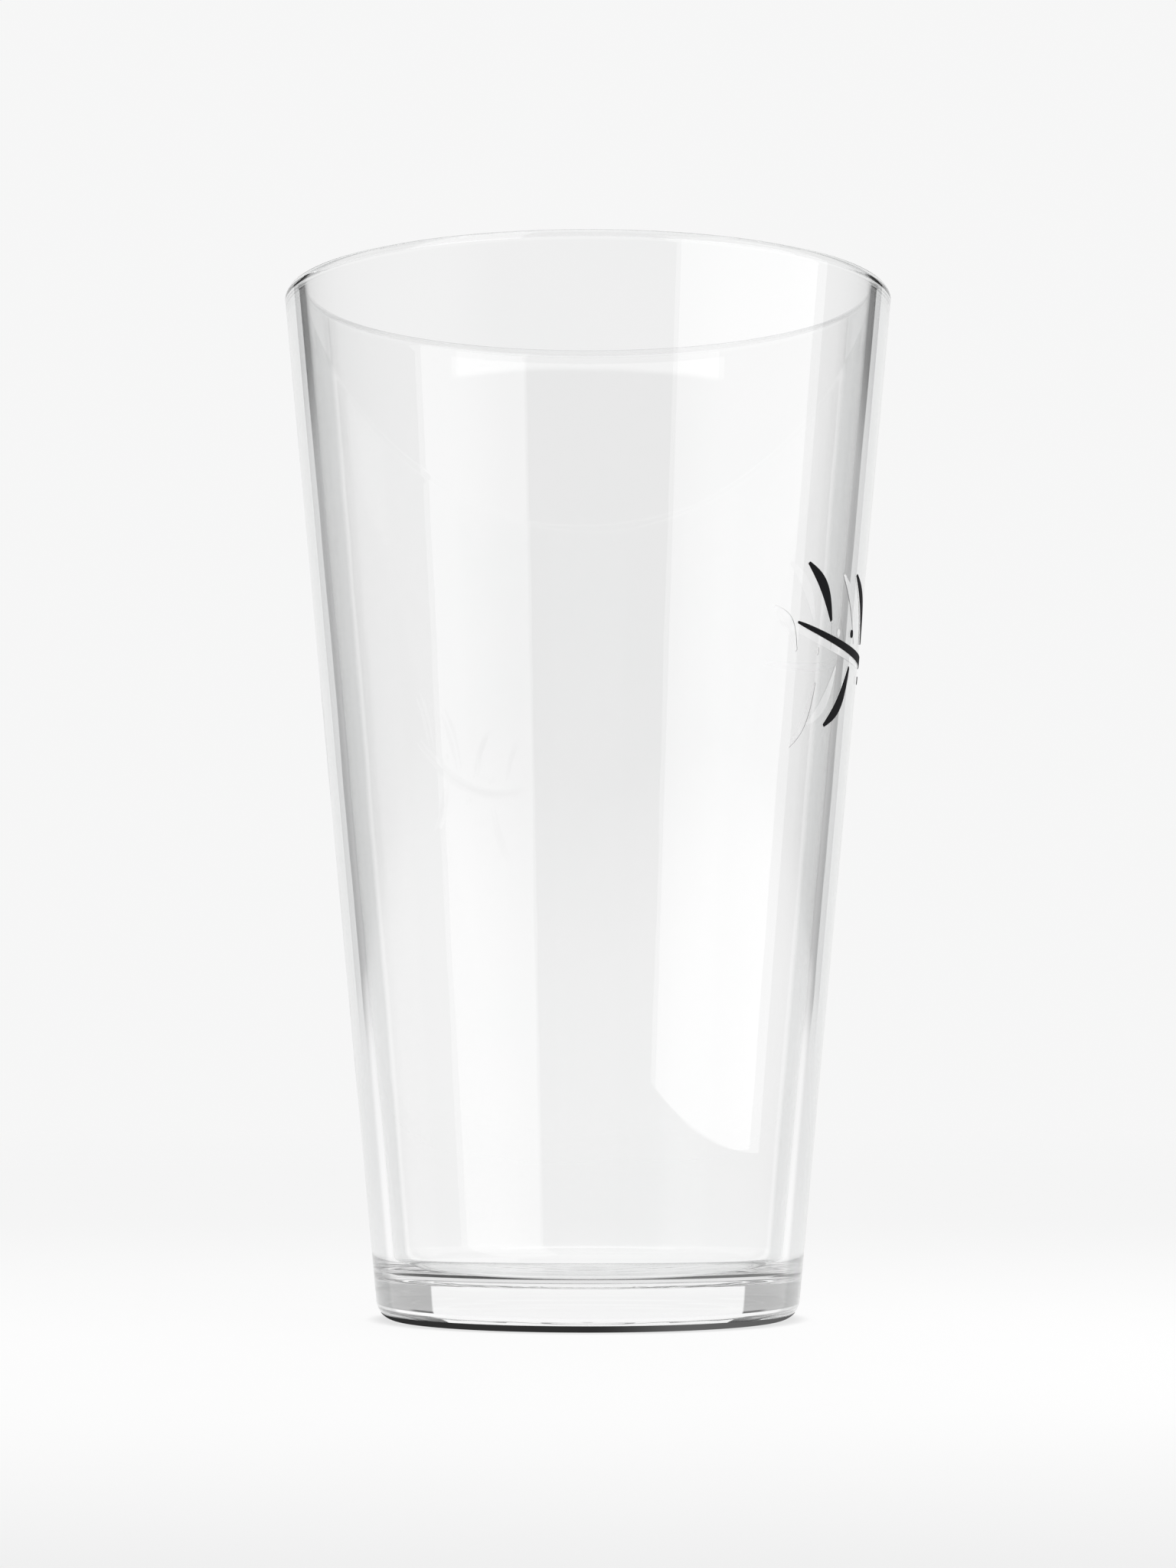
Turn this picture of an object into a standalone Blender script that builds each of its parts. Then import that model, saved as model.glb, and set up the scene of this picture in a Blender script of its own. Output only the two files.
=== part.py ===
"""Straight-sided pint glass with a black brush print of a level twig on its outside wall.

The glass itself is a single pressed piece. Its cross-section is turned about the z axis.
The print is a set of separate ink strokes that follow the cone of the wall.
Metres, +Z up. The origin is the middle of the foot, and +X points at the middle of the print.
"""

import math

import bmesh
import bpy
from mathutils import Vector

# Glass
HEIGHT = 0.149
RIM_RADIUS = 0.04445
BASE_RADIUS = 0.03016
WALL = 0.003
HEEL_ROUND = 0.003
FLOOR_HEIGHT = 0.0059
FLOOR_CORNER_ROUND = 0.004
FOOT_RING_INNER = 0.0245
FOOT_RING_SLOPE = 0.0006
PUNT_HEIGHT = 0.001
PUNT_ROUND = 0.0005
TURN_STEPS = 96
LIP_STEPS = 12
ARC_STEP = math.radians(12)

# Print
PRINT_HEIGHT = 0.0945
PRINT_GAP = 0.00005
INK_THICKNESS = 0.00012
STEM_WIDTH = 0.0013
STEM_REACH = 0.0292
STEM_LIFT = 0.003
STEM_POINTS = 40
LEAF_WIDTH = 0.0019
LEAF_BEND = 0.10
LEAF_LEAN = math.radians(42)
LEAF_OFFSET = 0.0024
LEAF_POINTS = 20
TIP_SHARE = 0.25
BERRY_RADIUS = 0.0006
BERRY_POINTS = 16
BERRY_REACH = 0.0024

# Leaves on the stem: place from -1 (left end) to 1 (right end), length, and 1 for above or -1 for below
LEAVES = ((-0.72, 0.010, 1), (-0.44, 0.012, -1), (-0.16, 0.012, 1),
          (0.16, 0.012, 1), (0.44, 0.012, -1), (0.72, 0.010, 1))
# Berries on the stem, by place, and 1 for above or -1 for below
BERRIES = ((-0.44, 1), (0.0, -1), (0.44, 1))

GLASS_COLOUR = (0.92, 0.94, 0.94, 1.0)
INK_COLOUR = (0.012, 0.012, 0.013, 1.0)


def clear_scene():
    for obj in list(bpy.data.objects):
        bpy.data.objects.remove(obj, do_unlink=True)


def make_material(name, colour, roughness, transmission, ior):
    material = bpy.data.materials.new(name)
    material.use_nodes = True
    shader = material.node_tree.nodes["Principled BSDF"]
    shader.inputs["Base Color"].default_value = colour
    shader.inputs["Roughness"].default_value = roughness
    shader.inputs["Metallic"].default_value = 0.0
    shader.inputs["Transmission Weight"].default_value = transmission
    shader.inputs["IOR"].default_value = ior
    material.diffuse_color = colour
    return material


def outer_radius(height):
    """Radius of the outside cone at a height."""
    return BASE_RADIUS + (RIM_RADIUS - BASE_RADIUS) * height / HEIGHT


def inner_radius(height):
    return outer_radius(height) - WALL


def rounded_corner(before, corner, after, radius):
    """Points of an arc that rounds one corner of an outline."""
    back = (before - corner).normalized()
    ahead = (after - corner).normalized()
    half_angle = back.angle(ahead) / 2
    reach = radius / math.tan(half_angle)
    centre = corner + (back + ahead).normalized() * (radius / math.sin(half_angle))
    start = corner + back * reach - centre
    end = corner + ahead * reach - centre
    turn = start.angle_signed(end)
    steps = max(2, round(abs(turn) / ARC_STEP))
    points = []
    for step in range(steps + 1):
        angle = -turn * step / steps
        cosine, sine = math.cos(angle), math.sin(angle)
        spoke = Vector((start.x * cosine - start.y * sine, start.x * sine + start.y * cosine))
        points.append(centre + spoke)
    return points


def lip_arc():
    """The fully rounded lip, from the bore over the top to the outside."""
    lip_round = WALL / 2
    middle_height = HEIGHT - lip_round
    middle = Vector((outer_radius(middle_height) - lip_round, middle_height))
    points = []
    for step in range(LIP_STEPS + 1):
        angle = math.pi * (1 - step / LIP_STEPS)
        points.append(middle + lip_round * Vector((math.cos(angle), math.sin(angle))))
    return points


def glass_outline():
    """Half cross-section: inside floor, up the bore, over the lip, down the wall, under the foot."""
    floor_middle = Vector((0, FLOOR_HEIGHT))
    floor_corner = Vector((inner_radius(FLOOR_HEIGHT), FLOOR_HEIGHT))
    lip = lip_arc()
    heel = Vector((BASE_RADIUS, 0))
    ring_edge = Vector((FOOT_RING_INNER + FOOT_RING_SLOPE, 0))
    punt_edge = Vector((FOOT_RING_INNER, PUNT_HEIGHT))
    punt_middle = Vector((0, PUNT_HEIGHT))

    outline = [floor_middle]
    outline += rounded_corner(floor_middle, floor_corner, lip[0], FLOOR_CORNER_ROUND)
    outline += lip
    outline += rounded_corner(lip[-1], heel, ring_edge, HEEL_ROUND)
    outline.append(ring_edge)
    outline += rounded_corner(ring_edge, punt_edge, punt_middle, PUNT_ROUND)
    outline.append(punt_middle)
    return outline


def make_glass(material):
    """The pressed glass body: the cross-section turned once about z."""
    mesh = bpy.data.meshes.new("glass_body")
    outline = glass_outline()
    edges = [(index, index + 1) for index in range(len(outline) - 1)]
    mesh.from_pydata([(point.x, 0, point.y) for point in outline], edges, [])
    obj = bpy.data.objects.new("glass_body", mesh)
    bpy.context.scene.collection.objects.link(obj)
    turn = obj.modifiers.new("turn", "SCREW")
    turn.steps = TURN_STEPS
    turn.render_steps = TURN_STEPS
    turn.use_merge_vertices = True
    turn.merge_threshold = 0.00001
    turn.use_smooth_shade = True
    mesh.materials.append(material)
    return obj


def on_wall(along, up, lift):
    """A point of the flat drawing laid on the wall, lifted off the glass."""
    height = PRINT_HEIGHT + up
    angle = along / outer_radius(PRINT_HEIGHT)
    radius = outer_radius(height) + lift
    return Vector((radius * math.cos(angle), radius * math.sin(angle), height))


def make_stroke(name, left_edge, right_edge, material):
    """An ink stroke: the band between two edges of the drawing, given a thickness on the wall."""
    mesh_builder = bmesh.new()
    rows = []
    for left, right in zip(left_edge, right_edge):
        row = []
        for lift, point in ((PRINT_GAP, left), (PRINT_GAP, right),
                            (PRINT_GAP + INK_THICKNESS, right), (PRINT_GAP + INK_THICKNESS, left)):
            row.append(mesh_builder.verts.new(on_wall(point.x, point.y, lift)))
        rows.append(row)
    for row, following_row in zip(rows, rows[1:]):
        for side in range(4):
            other = (side + 1) % 4
            mesh_builder.faces.new((row[side], row[other], following_row[other], following_row[side]))
    mesh_builder.faces.new(rows[0])
    mesh_builder.faces.new(rows[-1])
    bmesh.ops.recalc_face_normals(mesh_builder, faces=mesh_builder.faces[:])
    return link_mesh(name, mesh_builder, material)


def link_mesh(name, mesh_builder, material):
    mesh = bpy.data.meshes.new(name)
    mesh_builder.to_mesh(mesh)
    mesh_builder.free()
    mesh.shade_smooth()
    mesh.set_sharp_from_angle(angle=math.radians(35))
    mesh.materials.append(material)
    obj = bpy.data.objects.new(name, mesh)
    bpy.context.scene.collection.objects.link(obj)
    return obj


def stem_point(place):
    """The stem's centre line, a level twig that lifts a little at both ends."""
    return Vector((STEM_REACH * place, STEM_LIFT * place ** 2))


def stem_direction(place):
    step = 0.01
    return (stem_point(place + step) - stem_point(place - step)).normalized()


def make_stem(material):
    """The stem, a brush stroke thickest in the middle and fine at both ends."""
    left_edge, right_edge = [], []
    for index in range(STEM_POINTS + 1):
        place = 2 * index / STEM_POINTS - 1
        across = stem_direction(place).orthogonal()
        swell = math.cos(math.pi / 2 * place) ** 0.5
        half_width = STEM_WIDTH / 2 * (TIP_SHARE + (1 - TIP_SHARE) * swell)
        left_edge.append(stem_point(place) + across * half_width)
        right_edge.append(stem_point(place) - across * half_width)
    return make_stroke("print_stem", left_edge, right_edge, material)


def make_leaf(number, place, length, rise, material):
    """A leaf: one brush stroke that leans away from the middle and curls towards the stem."""
    side = math.copysign(1, place)
    axis = Vector((side * math.sin(LEAF_LEAN), rise * math.cos(LEAF_LEAN)))
    across = Vector((-side * math.cos(LEAF_LEAN), rise * math.sin(LEAF_LEAN)))
    start = stem_point(place) + Vector((0, rise * LEAF_OFFSET))
    left_edge, right_edge = [], []
    for index in range(LEAF_POINTS + 1):
        share = index / LEAF_POINTS
        swell = math.sin(math.pi * share)
        middle = start + axis * (length * share) + across * (LEAF_BEND * length * swell)
        half_width = LEAF_WIDTH / 2 * (TIP_SHARE + (1 - TIP_SHARE) * swell)
        left_edge.append(middle - across * half_width)
        right_edge.append(middle + across * half_width)
    return make_stroke(f"print_leaf_{number}", left_edge, right_edge, material)


def make_berry(number, place, rise, material):
    """A round ink dot above or below the stem."""
    middle = stem_point(place) + Vector((0, rise * BERRY_REACH))
    mesh_builder = bmesh.new()
    rims = []
    for lift in (PRINT_GAP, PRINT_GAP + INK_THICKNESS):
        rim = []
        for index in range(BERRY_POINTS):
            angle = 2 * math.pi * index / BERRY_POINTS
            point = middle + Vector((math.cos(angle), math.sin(angle))) * BERRY_RADIUS
            rim.append(mesh_builder.verts.new(on_wall(point.x, point.y, lift)))
        rims.append(rim)
        hub = mesh_builder.verts.new(on_wall(middle.x, middle.y, lift))
        for index in range(BERRY_POINTS):
            mesh_builder.faces.new((rim[index], rim[(index + 1) % BERRY_POINTS], hub))
    for index in range(BERRY_POINTS):
        following = (index + 1) % BERRY_POINTS
        mesh_builder.faces.new((rims[0][index], rims[0][following], rims[1][following], rims[1][index]))
    bmesh.ops.recalc_face_normals(mesh_builder, faces=mesh_builder.faces[:])
    return link_mesh(f"print_berry_{number}", mesh_builder, material)


def build():
    clear_scene()
    glass = make_material("clear_glass", GLASS_COLOUR, 0.02, 1.0, 1.52)
    ink = make_material("black_ink", INK_COLOUR, 0.35, 0.0, 1.5)
    make_glass(glass)
    make_stem(ink)
    for number, (place, length, rise) in enumerate(LEAVES, 1):
        make_leaf(number, place, length, rise, ink)
    for number, (place, rise) in enumerate(BERRIES, 1):
        make_berry(number, place, rise, ink)


build()
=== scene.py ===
"""Pint glass: fine glass surface, ink print and studio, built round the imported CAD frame."""

import math

import bmesh
import bpy
from mathutils import Matrix, Vector, noise


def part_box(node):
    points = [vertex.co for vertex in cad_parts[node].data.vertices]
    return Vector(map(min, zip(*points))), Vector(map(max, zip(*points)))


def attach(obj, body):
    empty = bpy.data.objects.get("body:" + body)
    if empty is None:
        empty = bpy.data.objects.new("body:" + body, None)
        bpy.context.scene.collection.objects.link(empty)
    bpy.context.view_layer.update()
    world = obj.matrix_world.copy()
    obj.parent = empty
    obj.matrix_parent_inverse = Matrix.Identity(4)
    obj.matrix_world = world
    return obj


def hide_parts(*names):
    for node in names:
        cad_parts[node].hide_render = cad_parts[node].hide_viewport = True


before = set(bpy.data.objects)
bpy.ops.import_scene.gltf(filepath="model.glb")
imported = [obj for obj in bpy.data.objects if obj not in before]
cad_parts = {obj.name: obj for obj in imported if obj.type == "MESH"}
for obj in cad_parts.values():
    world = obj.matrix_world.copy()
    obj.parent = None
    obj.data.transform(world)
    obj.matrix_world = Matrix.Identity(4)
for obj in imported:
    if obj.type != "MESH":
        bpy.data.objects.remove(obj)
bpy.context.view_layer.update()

# Glass, metres. The height comes from the frame, and the rest restates the CAD's section.
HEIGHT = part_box("glass_body")[1][2]
WALL = 0.003
RIM_RADIUS = 0.04445
BASE_RADIUS = 0.03016
HEEL_ROUND = 0.003
FLOOR_HEIGHT = 0.0059
FLOOR_CORNER_ROUND = 0.004
FOOT_RING_INNER = 0.0245
FOOT_RING_SLOPE = 0.0006
FOOT_RING_ROUND = 0.0003
PUNT_HEIGHT = 0.001
PUNT_ROUND = 0.0005

# Fineness of the turned surface
TURN_STEPS = 360
ARC_STEP = math.radians(4)
LIP_STEPS = 48
FLOOR_STEPS = 60
ROW_SPACING = 0.0022
GUARD = 0.00005
ON_AXIS = 0.000005

# Ripple of the pressed bore: depth, and how many waves fit round and along
BORE_RIPPLES = ((0.000030, 2.0, 60.0), (0.000010, 5.0, 160.0))
RIPPLE_LOW = (0.014, 0.026)
RIPPLE_HIGH = (0.105, 0.140)

# Rings in the inside floor
RING_DEPTH = 0.000015
RING_PITCH = 0.0039

# Fine detail of the smears and of the mottle in the ink and the floor
NOISE_DETAIL = 3.0

# Glass surface: hand marks in the polish, and painted shade that greys the glass a little where it is
# seen at a grazing angle
GLASS_IOR = 1.5
CLEAR_TINT = (1.0, 1.0, 1.0, 1.0)
SMEAR_TINT = (0.992, 0.996, 0.995, 1.0)
SMEAR_SCALE = 45.0
SMEAR_EDGE = (0.45, 0.75)
SMEAR_ROUGHNESS = 0.006
GRAZING_SHADE_START = (0.61, 0.66)
GRAZING_SHADE_TINT = (0.66, 0.67, 0.67, 1.0)

# Ink film, from its blackest to its thinnest, and its pinholes
INK_BLACK = (0.004, 0.004, 0.005, 1.0)
INK_THIN = (0.010, 0.010, 0.011, 1.0)
INK_PINHOLE = (0.03, 0.03, 0.03, 1.0)
INK_ROUGHNESS = (0.60, 0.75)
INK_SPECULAR = 0.05
INK_MOTTLE_SCALE = 900.0
INK_MOTTLE_ROUGHNESS = 0.6
GRAIN_SCALE = 5200.0
GRAIN_DEPTH = 0.00001
GRAIN_STRENGTH = 0.6
PINHOLE_EDGE = (0.70, 0.76)

# White coat under the ink, seen through the glass. It glows a little, painted light that stands in for
# studio light shining through it.
# It covers faces whose normal points at the axis by more than the facing share of the rim radius.
BASE_COAT = (0.85, 0.85, 0.85, 1.0)
BASE_COAT_GLOW = 0.8
BASE_COAT_FACING = 0.5

# Smoothing of the ink strokes: flat facets join, and the long edges stay crisp
WELD_DISTANCE = 0.000001
FLAT_ANGLE = math.radians(1)
CREASE_ANGLE = math.radians(60)
SHARP_ANGLE = math.radians(50)
SMOOTH_LEVELS = 2

# Camera: a long lens a little above the foot, tipped up
CAMERA_DISTANCE = 0.5334
CAMERA_HEIGHT = 0.03682
CAMERA_PITCH = math.radians(4.31)
CAMERA_LENS_MM = 84.5
CAMERA_SENSOR_MM = 36
CAMERA_CLIP_START = 0.01

# Studio, as the camera sees it. Angles are in degrees: azimuth runs from 0 at the camera to 180
# behind the glass, and the pairs are where one light starts to give way to the next.
BACKDROP_HALF_ANGLE = 33.6
BACKDROP_EDGE = 0.4
BACKDROP_LIGHT = 0.925
BACKDROP_TOP = (60, 62)
FRONT_LIGHT = 0.18
SIDE_LIGHT = 0.45
FRONT_TO_SIDE = (30, 60)
GAP_LIGHT = 0.12
GAP_HALF_ANGLES = (40, 46)
GAP_FOOT = (6, 8)
CEILING_LIGHT = 0.03
CEILING_START = (25, 27)
ZENITH_LIGHT = 0.4
ZENITH_START = (55, 65)
OVERHEAD_STRIP_LIGHT = 1.5
OVERHEAD_STRIP = (21.68, 30.0)
OVERHEAD_STRIP_EDGE = 0.06
OVERHEAD_STRIP_HALF_ANGLE = 60
OVERHEAD_STRIP_SAG = 1.5
SOFTBOX_NEAR = (0.0956, -0.1642)
SOFTBOX_FAR = (0.1640, -0.0065)
SOFTBOX_LOW = 0.003
SOFTBOX_HIGH = 0.38
SOFTBOX_RADIANCE = 1.15

# Floor: a glowing white sweep, brightest round the glass, that dims towards the camera
FLOOR_RADIUS = 1.7
FLOOR_DROP = 0.00005
FLOOR_FADE = (0.5, 1.6)
FLOOR_LIGHT = 1.04
FLOOR_BACK_LIGHT = 0.978
FLOOR_BACK = (-0.04, 0.35)
FLOOR_FRONT = (0.12, 0.75)
FLOOR_MATT_SHARE = 0.10
FLOOR_ALBEDO = 0.90
# Painted light under the glass, and a painted shadow round the foot
UNDER_GLASS_LIGHT = 0.95
CONTACT_LIGHT = 0.80
CONTACT_INNER = (0.0235, 0.0245)
CONTACT_OUTER = (0.0290, 0.0325)
FLOOR_SEGMENTS = 128
FLOOR_MOTTLE = (0.997, 1.003)
FLOOR_MOTTLE_SCALE = 60.0

# The dark line under the heel: height, gap to the glass, rows, light from dark side to softbox side
HEEL_SHADOW_TOP = 0.001
HEEL_SHADOW_GAP = 0.00006
HEEL_SHADOW_STEPS = 8
HEEL_SHADOW_LIGHT = (0.03, 0.12)
HEEL_SHADOW_SIDE = (0.0, 0.016)

# Light paths: glass needs many bounces, and stray bright paths are held down
LIGHT_BOUNCES = 128
INDIRECT_CLAMP = 8


# ---------------------------------------------------------------- node helpers

class Nodes:
    """Short calls for building a node tree."""

    def __init__(self, tree):
        self.tree = tree
        tree.nodes.clear()

    def add(self, kind, **settings):
        node = self.tree.nodes.new(kind)
        for name, value in settings.items():
            setattr(node, name, value)
        return node

    def feed(self, socket, value):
        if isinstance(value, bpy.types.NodeSocket):
            self.tree.links.new(value, socket)
        else:
            socket.default_value = value

    def math(self, operation, first, second=0.0):
        node = self.add("ShaderNodeMath", operation=operation)
        self.feed(node.inputs[0], first)
        self.feed(node.inputs[1], second)
        return node.outputs[0]

    def ramp(self, value, low, high, start=0.0, end=1.0):
        """Smooth change from start to end as value goes from low to high."""
        node = self.add("ShaderNodeMapRange", interpolation_type="SMOOTHSTEP")
        for name, amount in (("Value", value), ("From Min", low), ("From Max", high),
                             ("To Min", start), ("To Max", end)):
            self.feed(node.inputs[name], amount)
        return node.outputs["Result"]

    def blend(self, factor, first, second):
        node = self.add("ShaderNodeMix", data_type="FLOAT")
        self.feed(node.inputs[0], factor)
        self.feed(node.inputs[2], first)
        self.feed(node.inputs[3], second)
        return node.outputs[0]

    def blend_colour(self, factor, first, second):
        node = self.add("ShaderNodeMix", data_type="RGBA")
        self.feed(node.inputs[0], factor)
        self.feed(node.inputs[6], first)
        self.feed(node.inputs[7], second)
        return node.outputs[2]

    def grey(self, value):
        node = self.add("ShaderNodeCombineColor")
        for socket in node.inputs:
            if socket.name in ("Red", "Green", "Blue"):
                self.feed(socket, value)
        return node.outputs[0]

    def noise(self, coordinates, scale, detail=2.0, roughness=0.5):
        node = self.add("ShaderNodeTexNoise")
        self.feed(node.inputs["Vector"], coordinates)
        node.inputs["Scale"].default_value = scale
        node.inputs["Detail"].default_value = detail
        node.inputs["Roughness"].default_value = roughness
        return node.outputs["Fac"]

    def bump(self, height, distance, strength=1.0):
        node = self.add("ShaderNodeBump")
        self.feed(node.inputs["Height"], height)
        node.inputs["Distance"].default_value = distance
        node.inputs["Strength"].default_value = strength
        return node.outputs["Normal"]


# ---------------------------------------------------------------- materials

def glass_material():
    """Clear soda-lime glass: faint hand marks in the polish and a faint cool tint."""
    material = bpy.data.materials.new("clear_pressed_glass")
    material.use_nodes = True
    nodes = Nodes(material.node_tree)
    place = nodes.add("ShaderNodeTexCoord").outputs["Object"]
    smears = nodes.ramp(nodes.noise(place, SMEAR_SCALE, NOISE_DETAIL), *SMEAR_EDGE)
    shader = nodes.add("ShaderNodeBsdfPrincipled")
    shader.inputs["IOR"].default_value = GLASS_IOR
    shader.inputs["Transmission Weight"].default_value = 1.0
    tint = nodes.blend_colour(smears, CLEAR_TINT, SMEAR_TINT)
    # Painted shade: where the glass is seen at a grazing angle its colour greys, darkening its edges
    facing = nodes.add("ShaderNodeLayerWeight").outputs["Facing"]
    tint = nodes.blend_colour(nodes.ramp(facing, *GRAZING_SHADE_START), tint, GRAZING_SHADE_TINT)
    nodes.feed(shader.inputs["Base Color"], tint)
    nodes.feed(shader.inputs["Roughness"], nodes.blend(smears, 0.0, SMEAR_ROUGHNESS))
    output = nodes.add("ShaderNodeOutputMaterial")
    nodes.feed(output.inputs["Surface"], shader.outputs[0])
    return material


def ink_material():
    """Fired black ink over a white base coat: a matt, slightly uneven film with a few pinholes."""
    material = bpy.data.materials.new("fired_black_ink")
    material.use_nodes = True
    nodes = Nodes(material.node_tree)
    place = nodes.add("ShaderNodeTexCoord")
    mottle = nodes.noise(place.outputs["Object"], INK_MOTTLE_SCALE, NOISE_DETAIL, INK_MOTTLE_ROUGHNESS)
    grain = nodes.noise(place.outputs["Object"], GRAIN_SCALE)
    pinholes = nodes.ramp(grain, *PINHOLE_EDGE)
    film = nodes.blend_colour(pinholes, nodes.blend_colour(mottle, INK_BLACK, INK_THIN), INK_PINHOLE)
    spoke = nodes.add("ShaderNodeVectorMath", operation="MULTIPLY")
    nodes.feed(spoke.inputs[0], place.outputs["Object"])
    nodes.feed(spoke.inputs[1], (1.0, 1.0, 0.0))
    outward = nodes.add("ShaderNodeVectorMath", operation="DOT_PRODUCT")
    nodes.feed(outward.inputs[0], spoke.outputs[0])
    nodes.feed(outward.inputs[1], place.outputs["Normal"])
    base_coat = nodes.math("LESS_THAN", outward.outputs["Value"], -BASE_COAT_FACING * RIM_RADIUS)
    shader = nodes.add("ShaderNodeBsdfPrincipled")
    nodes.feed(shader.inputs["Base Color"], nodes.blend_colour(base_coat, film, BASE_COAT))
    nodes.feed(shader.inputs["Roughness"], nodes.blend(mottle, *INK_ROUGHNESS))
    shader.inputs["Specular IOR Level"].default_value = INK_SPECULAR
    nodes.feed(shader.inputs["Normal"], nodes.bump(grain, GRAIN_DEPTH, GRAIN_STRENGTH))
    # Painted light: the white base coat glows a little
    nodes.feed(shader.inputs["Emission Color"], BASE_COAT)
    nodes.feed(shader.inputs["Emission Strength"], nodes.math("MULTIPLY", base_coat, BASE_COAT_GLOW))
    output = nodes.add("ShaderNodeOutputMaterial")
    nodes.feed(output.inputs["Surface"], shader.outputs[0])
    return material


# ---------------------------------------------------------------- glass

def outer_radius(height):
    return BASE_RADIUS + (RIM_RADIUS - BASE_RADIUS) * height / HEIGHT


def inner_radius(height):
    return outer_radius(height) - WALL


def rounded_corner(before, corner, after, radius):
    """Points of an arc that rounds one corner of an outline."""
    back = (before - corner).normalized()
    ahead = (after - corner).normalized()
    half_angle = back.angle(ahead) / 2
    reach = radius / math.tan(half_angle)
    centre = corner + (back + ahead).normalized() * (radius / math.sin(half_angle))
    start = corner + back * reach - centre
    end = corner + ahead * reach - centre
    turn = start.angle_signed(end)
    steps = max(2, round(abs(turn) / ARC_STEP))
    points = []
    for step in range(steps + 1):
        angle = -turn * step / steps
        cosine, sine = math.cos(angle), math.sin(angle)
        points.append(centre + Vector((start.x * cosine - start.y * sine,
                                       start.x * sine + start.y * cosine)))
    return points


def lip_arc():
    """The fully rounded lip, from the bore over the top to the outside."""
    lip_round = WALL / 2
    middle_height = HEIGHT - lip_round
    middle = Vector((outer_radius(middle_height) - lip_round, middle_height))
    points = []
    for step in range(LIP_STEPS + 1):
        angle = math.pi * (1 - step / LIP_STEPS)
        points.append(middle + lip_round * Vector((math.cos(angle), math.sin(angle))))
    return points


def straight_run(start, end):
    """Rows between two points, with a guard row close to each so that shading stays crisp."""
    length = (end - start).length
    ahead = (end - start).normalized()
    first, last = start + ahead * GUARD, end - ahead * GUARD
    count = max(1, round(length / ROW_SPACING))
    return [first.lerp(last, step / count) for step in range(count + 1)]


def floor_rings(reach):
    """Rows of the inside floor, with the faint rings a pressing plunger leaves."""
    points = []
    for step in range(FLOOR_STEPS):
        radius = reach * step / FLOOR_STEPS
        ring = RING_DEPTH * math.sin(math.tau * radius / RING_PITCH)
        points.append(Vector((radius, FLOOR_HEIGHT + ring)))
    return points


def glass_outline():
    """Half section from the middle of the inside floor, over the lip, to the middle of the foot."""
    floor_middle = Vector((0, FLOOR_HEIGHT))
    floor_corner = Vector((inner_radius(FLOOR_HEIGHT), FLOOR_HEIGHT))
    lip = lip_arc()
    heel = Vector((BASE_RADIUS, 0))
    ring_edge = Vector((FOOT_RING_INNER + FOOT_RING_SLOPE, 0))
    punt_edge = Vector((FOOT_RING_INNER, PUNT_HEIGHT))
    punt_middle = Vector((0, PUNT_HEIGHT))
    floor_round = rounded_corner(floor_middle, floor_corner, lip[0], FLOOR_CORNER_ROUND)
    heel_round = rounded_corner(lip[-1], heel, ring_edge, HEEL_ROUND)
    ring_round = rounded_corner(heel, ring_edge, punt_edge, FOOT_RING_ROUND)
    punt_round = rounded_corner(ring_edge, punt_edge, punt_middle, PUNT_ROUND)
    outline = floor_rings(floor_round[0].x) + floor_round
    outline += straight_run(floor_round[-1], lip[0])
    outline += lip
    outline += straight_run(lip[-1], heel_round[0])
    outline += heel_round
    outline += straight_run(heel_round[-1], ring_round[0])
    outline += ring_round + punt_round
    outline += straight_run(punt_round[-1], punt_middle)[:-1]
    outline.append(punt_middle)
    return outline


def bore_ripple(place):
    """Outward ripple of the bore at a point, fading out at the floor and the lip."""
    low = (place.z - RIPPLE_LOW[0]) / (RIPPLE_LOW[1] - RIPPLE_LOW[0])
    high = (RIPPLE_HIGH[1] - place.z) / (RIPPLE_HIGH[1] - RIPPLE_HIGH[0])
    fade = max(0.0, min(1.0, low, high))
    offset = 0.0
    for depth, around, along in BORE_RIPPLES:
        spoke = place.xy.normalized() * around
        offset += depth * noise.noise(Vector((spoke.x, spoke.y, place.z * along)))
    return offset * fade


def turn_outline(name, outline, bore_rows):
    """Closed surface of revolution whose bore rows carry the ripple."""
    builder = bmesh.new()
    rings = []
    for index, point in enumerate(outline):
        if point.x < ON_AXIS:
            rings.append([builder.verts.new((0, 0, point.y))])
            continue
        ring = []
        for step in range(TURN_STEPS):
            angle = 2 * math.pi * step / TURN_STEPS
            place = Vector((point.x * math.cos(angle), point.x * math.sin(angle), point.y))
            if index in bore_rows:
                place.xy += place.xy.normalized() * bore_ripple(place)
            ring.append(builder.verts.new(place))
        rings.append(ring)
    for ring, following in zip(rings, rings[1:]):
        for step in range(TURN_STEPS):
            other = (step + 1) % TURN_STEPS
            if len(ring) == 1:
                builder.faces.new((ring[0], following[step], following[other]))
            elif len(following) == 1:
                builder.faces.new((ring[step], following[0], ring[other]))
            else:
                builder.faces.new((ring[step], following[step], following[other], ring[other]))
    bmesh.ops.recalc_face_normals(builder, faces=builder.faces[:])
    mesh = bpy.data.meshes.new(name)
    builder.to_mesh(mesh)
    builder.free()
    mesh.shade_smooth()
    piece = bpy.data.objects.new(name, mesh)
    bpy.context.scene.collection.objects.link(piece)
    return piece


def make_glass():
    outline = glass_outline()
    bore_rows = {index for index, point in enumerate(outline[:len(outline) // 2])
                 if abs(point.x - inner_radius(point.y)) < GUARD}
    piece = turn_outline("pressed_glass", outline, bore_rows)
    piece.data.materials.append(glass_material())
    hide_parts("glass_body")
    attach(piece, "root")


# ---------------------------------------------------------------- print

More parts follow.
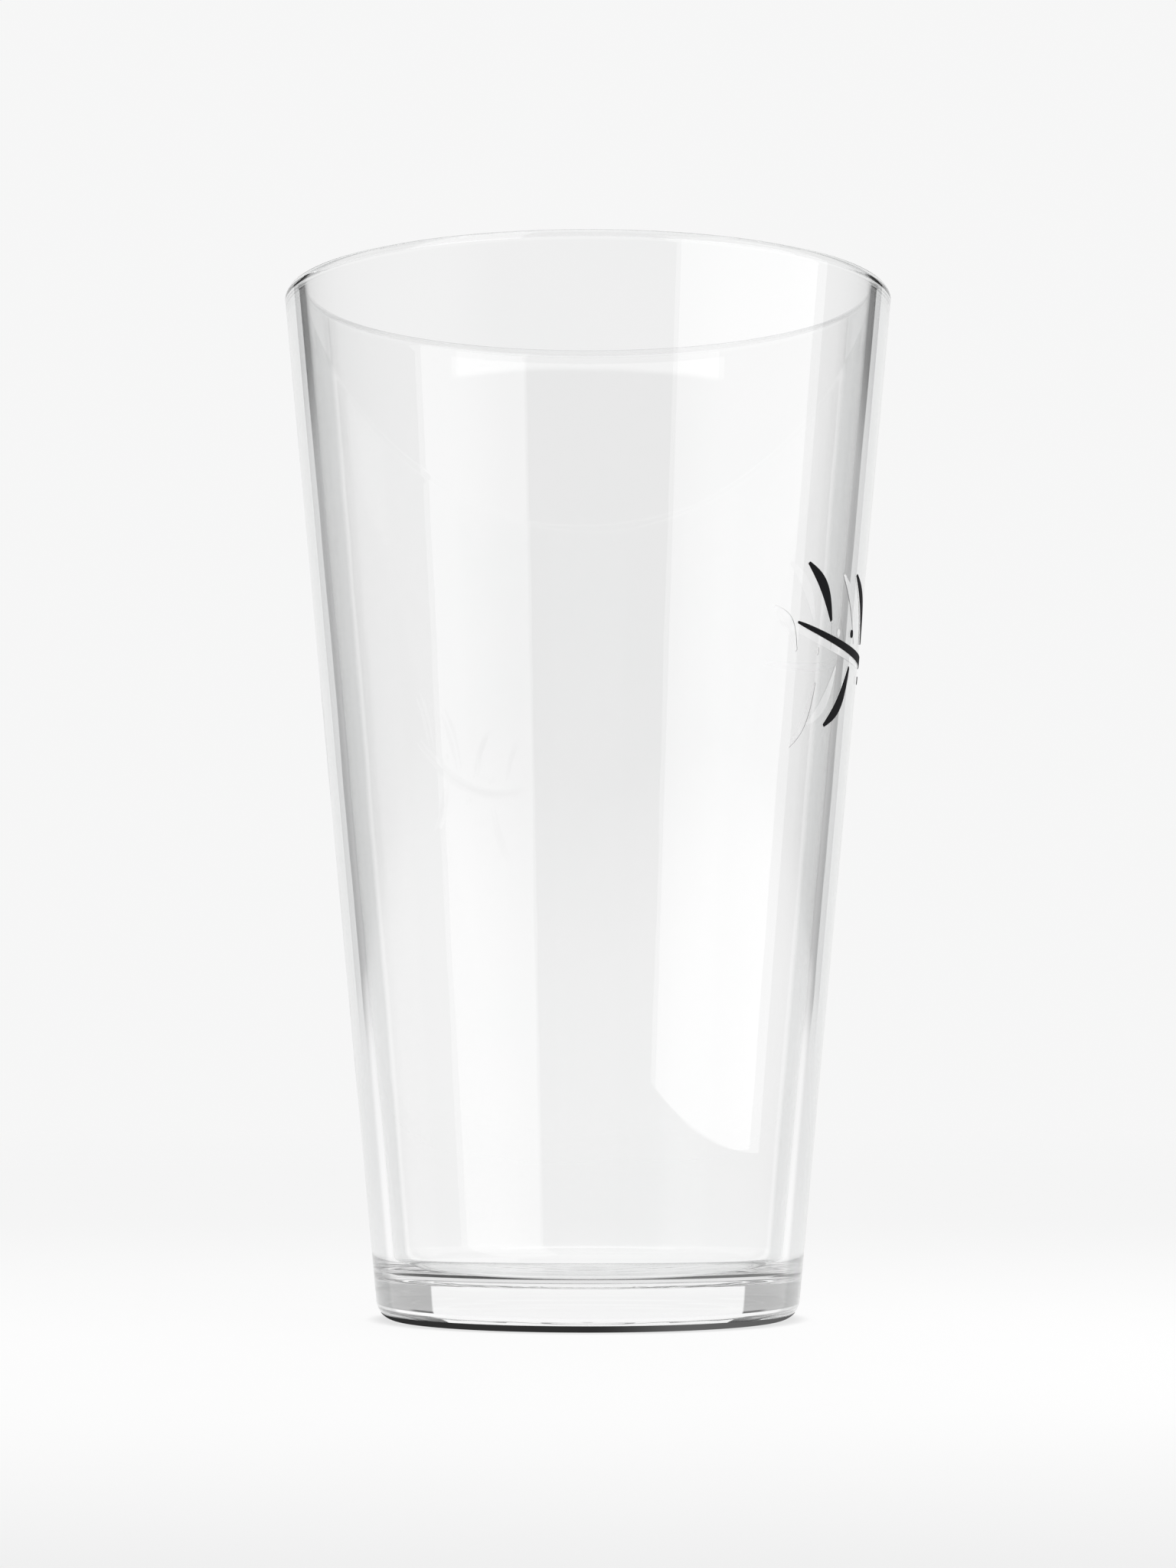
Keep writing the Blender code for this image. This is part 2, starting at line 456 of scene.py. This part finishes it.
def make_ink_piece(node, material):
    """A smooth copy of one CAD ink stroke: its long edges stay crisp and its curves turn smooth."""
    source = bpy.data.objects[node]
    mesh = source.data.copy()
    piece = bpy.data.objects.new(node.replace("print", "ink"), mesh)
    bpy.context.scene.collection.objects.link(piece)
    piece.matrix_world = source.matrix_world
    builder = bmesh.new()
    builder.from_mesh(mesh)
    bmesh.ops.remove_doubles(builder, verts=builder.verts[:], dist=WELD_DISTANCE)
    bmesh.ops.dissolve_limit(builder, angle_limit=FLAT_ANGLE, verts=builder.verts[:],
                             edges=builder.edges[:], delimit=set())
    creases = builder.edges.layers.float.new("crease_edge")
    for edge in builder.edges:
        if len(edge.link_faces) == 2 and edge.calc_face_angle() > CREASE_ANGLE:
            edge[creases] = 1.0
    builder.to_mesh(mesh)
    builder.free()
    mesh.shade_smooth()
    mesh.set_sharp_from_angle(angle=SHARP_ANGLE)
    smooth = piece.modifiers.new("smooth", "SUBSURF")
    smooth.levels = smooth.render_levels = SMOOTH_LEVELS
    mesh.materials.clear()
    mesh.materials.append(material)
    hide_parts(node)
    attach(piece, "root")


def make_print():
    material = ink_material()
    for node in sorted(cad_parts):
        if node.startswith("print_"):
            make_ink_piece(node, material)


# ---------------------------------------------------------------- studio

def make_camera():
    data = bpy.data.cameras.new("camera")
    data.lens = CAMERA_LENS_MM
    data.sensor_width = CAMERA_SENSOR_MM
    data.clip_start = CAMERA_CLIP_START
    camera = bpy.data.objects.new("camera", data)
    camera.location = (0, -CAMERA_DISTANCE, CAMERA_HEIGHT)
    camera.rotation_euler = (math.pi / 2 + CAMERA_PITCH, 0, 0)
    bpy.context.scene.collection.objects.link(camera)
    bpy.context.scene.camera = camera
    return camera


def make_turntable(camera):
    """An empty on the glass's axis that always faces the camera. The studio hangs on it."""
    turntable = bpy.data.objects.new("studio_turntable", None)
    bpy.context.scene.collection.objects.link(turntable)
    follow = turntable.constraints.new("LOCKED_TRACK")
    follow.target = camera
    follow.track_axis = "TRACK_NEGATIVE_Y"
    follow.lock_axis = "LOCK_Z"
    return turntable


def studio_place(nodes, turntable):
    """Where a shaded point or ray lies, as seen from the turntable: right, away and up."""
    split = nodes.add("ShaderNodeSeparateXYZ")
    coordinates = nodes.add("ShaderNodeTexCoord", object=turntable)
    nodes.feed(split.inputs[0], coordinates.outputs["Object"])
    return split.outputs


def make_world(turntable):
    """Bright backdrop with a dark gap beside it, grey sides, dim front, light strip over the camera."""
    world = bpy.data.worlds.new("studio")
    bpy.context.scene.world = world
    world.use_nodes = True
    nodes = Nodes(world.node_tree)
    right, away, up = studio_place(nodes, turntable)
    azimuth = nodes.math("ARCTAN2", right, nodes.math("MULTIPLY", away, -1.0))
    azimuth = nodes.math("ABSOLUTE", nodes.math("DEGREES", azimuth))
    off_backdrop = nodes.math("SUBTRACT", 180.0, azimuth)
    elevation = nodes.math("DEGREES", nodes.math("ARCSINE", up))
    room = nodes.ramp(azimuth, *FRONT_TO_SIDE, FRONT_LIGHT, SIDE_LIGHT)
    gap = nodes.math("MULTIPLY", nodes.ramp(off_backdrop, *GAP_HALF_ANGLES, 1.0, 0.0),
                     nodes.ramp(elevation, *GAP_FOOT))
    room = nodes.blend(gap, room, GAP_LIGHT)
    room = nodes.blend(nodes.ramp(elevation, *CEILING_START), room, CEILING_LIGHT)
    strip_low, strip_high = OVERHEAD_STRIP
    sag = nodes.math("POWER", nodes.math("DIVIDE", azimuth, OVERHEAD_STRIP_HALF_ANGLE), 2.0)
    above = nodes.math("ADD", elevation, nodes.math("MULTIPLY", sag, OVERHEAD_STRIP_SAG))
    strip = nodes.ramp(above, strip_low - OVERHEAD_STRIP_EDGE, strip_low + OVERHEAD_STRIP_EDGE)
    over = nodes.ramp(elevation, strip_high - OVERHEAD_STRIP_EDGE, strip_high + OVERHEAD_STRIP_EDGE)
    beside = nodes.math("GREATER_THAN", azimuth, OVERHEAD_STRIP_HALF_ANGLE)
    strip = nodes.math("SUBTRACT", strip, nodes.math("MAXIMUM", over, beside))
    strip = nodes.math("MAXIMUM", strip, 0.0)
    room = nodes.blend(strip, room, OVERHEAD_STRIP_LIGHT)
    backdrop = nodes.ramp(off_backdrop, BACKDROP_HALF_ANGLE - BACKDROP_EDGE,
                          BACKDROP_HALF_ANGLE + BACKDROP_EDGE, 1.0, 0.0)
    backdrop = nodes.math("MULTIPLY", backdrop, nodes.ramp(elevation, *BACKDROP_TOP, 1.0, 0.0))
    light = nodes.blend(backdrop, room, BACKDROP_LIGHT)
    light = nodes.blend(nodes.ramp(elevation, *ZENITH_START), light, ZENITH_LIGHT)
    background = nodes.add("ShaderNodeBackground")
    nodes.feed(background.inputs["Color"], nodes.grey(light))
    output = nodes.add("ShaderNodeOutputWorld")
    nodes.feed(output.inputs["Surface"], background.outputs[0])


def make_softbox(turntable):
    """A tall softbox that stands close to the glass, to the camera's right."""
    near, far = Vector(SOFTBOX_NEAR), Vector(SOFTBOX_FAR)
    width, height = (far - near).length, SOFTBOX_HIGH - SOFTBOX_LOW
    data = bpy.data.lights.new("softbox", "AREA")
    data.shape = "RECTANGLE"
    data.size, data.size_y = width, height
    data.energy = SOFTBOX_RADIANCE * math.pi * width * height
    softbox = bpy.data.objects.new("softbox", data)
    bpy.context.scene.collection.objects.link(softbox)
    across = (far - near).normalized().to_3d()
    up = Vector((0, 0, 1))
    away = across.cross(up)
    middle = ((near + far) / 2).to_3d()
    middle.z = (SOFTBOX_LOW + SOFTBOX_HIGH) / 2
    if away.dot(middle) < 0:
        across, away = -across, -away
    turned = Matrix((across, up, away)).transposed().to_4x4()
    softbox.parent = turntable
    softbox.matrix_local = Matrix.Translation(middle) @ turned
    softbox.visible_camera = False


def floor_material(turntable):
    """White sweep: glowing paper with a painted shadow round the foot and painted light under the
    glass, clear far from the glass.
    """
    material = bpy.data.materials.new("white_sweep")
    material.use_nodes = True
    nodes = Nodes(material.node_tree)
    place = nodes.add("ShaderNodeTexCoord").outputs["Object"]
    length = nodes.add("ShaderNodeVectorMath", operation="LENGTH")
    nodes.feed(length.inputs[0], place)
    distance = length.outputs["Value"]
    away = studio_place(nodes, turntable)[1]
    toward = nodes.math("MULTIPLY", away, -1.0)
    glow = nodes.ramp(away, *FLOOR_BACK, FLOOR_LIGHT, FLOOR_BACK_LIGHT)
    glow = nodes.blend(nodes.ramp(toward, *FLOOR_FRONT), glow, FRONT_LIGHT)
    # Painted shadow: the glow dims round the foot, and under the glass it is set to a fixed painted
    # level
    glow = nodes.math("MULTIPLY", glow, nodes.ramp(distance, *CONTACT_OUTER, CONTACT_LIGHT, 1.0))
    glow = nodes.blend(nodes.ramp(distance, *CONTACT_INNER, 1.0, 0.0), glow, UNDER_GLASS_LIGHT)
    mottle = nodes.blend(nodes.noise(place, FLOOR_MOTTLE_SCALE, NOISE_DETAIL), *FLOOR_MOTTLE)
    emission = nodes.add("ShaderNodeEmission")
    nodes.feed(emission.inputs["Color"], nodes.grey(nodes.math("MULTIPLY", glow, mottle)))
    paper = nodes.add("ShaderNodeBsdfDiffuse")
    # Painted shadow in the paper's colour round the foot
    shade = nodes.ramp(distance, *CONTACT_OUTER, CONTACT_LIGHT, FLOOR_ALBEDO)
    nodes.feed(paper.inputs["Color"], nodes.grey(shade))
    sweep = nodes.add("ShaderNodeMixShader")
    nodes.feed(sweep.inputs[0], FLOOR_MATT_SHARE)
    nodes.feed(sweep.inputs[1], emission.outputs[0])
    nodes.feed(sweep.inputs[2], paper.outputs[0])
    clear = nodes.add("ShaderNodeBsdfTransparent")
    mix = nodes.add("ShaderNodeMixShader")
    nodes.feed(mix.inputs[0], nodes.ramp(distance, *FLOOR_FADE))
    nodes.feed(mix.inputs[1], sweep.outputs[0])
    nodes.feed(mix.inputs[2], clear.outputs[0])
    output = nodes.add("ShaderNodeOutputMaterial")
    nodes.feed(output.inputs["Surface"], mix.outputs[0])
    return material


def make_floor(turntable):
    builder = bmesh.new()
    bmesh.ops.create_circle(builder, cap_ends=True, segments=FLOOR_SEGMENTS, radius=FLOOR_RADIUS)
    mesh = bpy.data.meshes.new("sweep")
    builder.to_mesh(mesh)
    builder.free()
    mesh.materials.append(floor_material(turntable))
    sweep = bpy.data.objects.new("sweep", mesh)
    sweep.location.z = -FLOOR_DROP
    bpy.context.scene.collection.objects.link(sweep)


def make_heel_shadow(turntable):
    """The dark line under the heel: a ring of shade that hugs the heel's curve just outside it."""
    wall_point = Vector((outer_radius(HEIGHT), HEIGHT))
    curve = rounded_corner(wall_point, Vector((BASE_RADIUS, 0)), Vector((0, 0)), HEEL_ROUND)
    middle = curve[-1] + Vector((0, HEEL_ROUND))
    top_angle = math.acos(1 - HEEL_SHADOW_TOP / HEEL_ROUND)
    points = []
    for step in range(1, HEEL_SHADOW_STEPS + 1):
        angle = top_angle * step / HEEL_SHADOW_STEPS
        reach = HEEL_ROUND + HEEL_SHADOW_GAP
        points.append(middle + Vector((math.sin(angle), -math.cos(angle))) * reach)
    shade = turn_outline("heel_shadow", points, ())
    material = bpy.data.materials.new("shade")
    material.use_nodes = True
    nodes = Nodes(material.node_tree)
    right = studio_place(nodes, turntable)[0]
    emission = nodes.add("ShaderNodeEmission")
    light = nodes.ramp(right, *HEEL_SHADOW_SIDE, *HEEL_SHADOW_LIGHT)
    nodes.feed(emission.inputs["Color"], nodes.grey(light))
    output = nodes.add("ShaderNodeOutputMaterial")
    nodes.feed(output.inputs["Surface"], emission.outputs[0])
    shade.data.materials.append(material)


def make_studio():
    turntable = make_turntable(make_camera())
    make_world(turntable)
    make_softbox(turntable)
    make_floor(turntable)
    make_heel_shadow(turntable)
    scene = bpy.context.scene
    scene.view_settings.view_transform = "Standard"
    cycles = scene.cycles
    cycles.max_bounces = LIGHT_BOUNCES
    cycles.transmission_bounces = LIGHT_BOUNCES
    cycles.glossy_bounces = LIGHT_BOUNCES
    cycles.transparent_max_bounces = LIGHT_BOUNCES
    cycles.sample_clamp_indirect = INDIRECT_CLAMP


make_glass()
make_print()
make_studio()
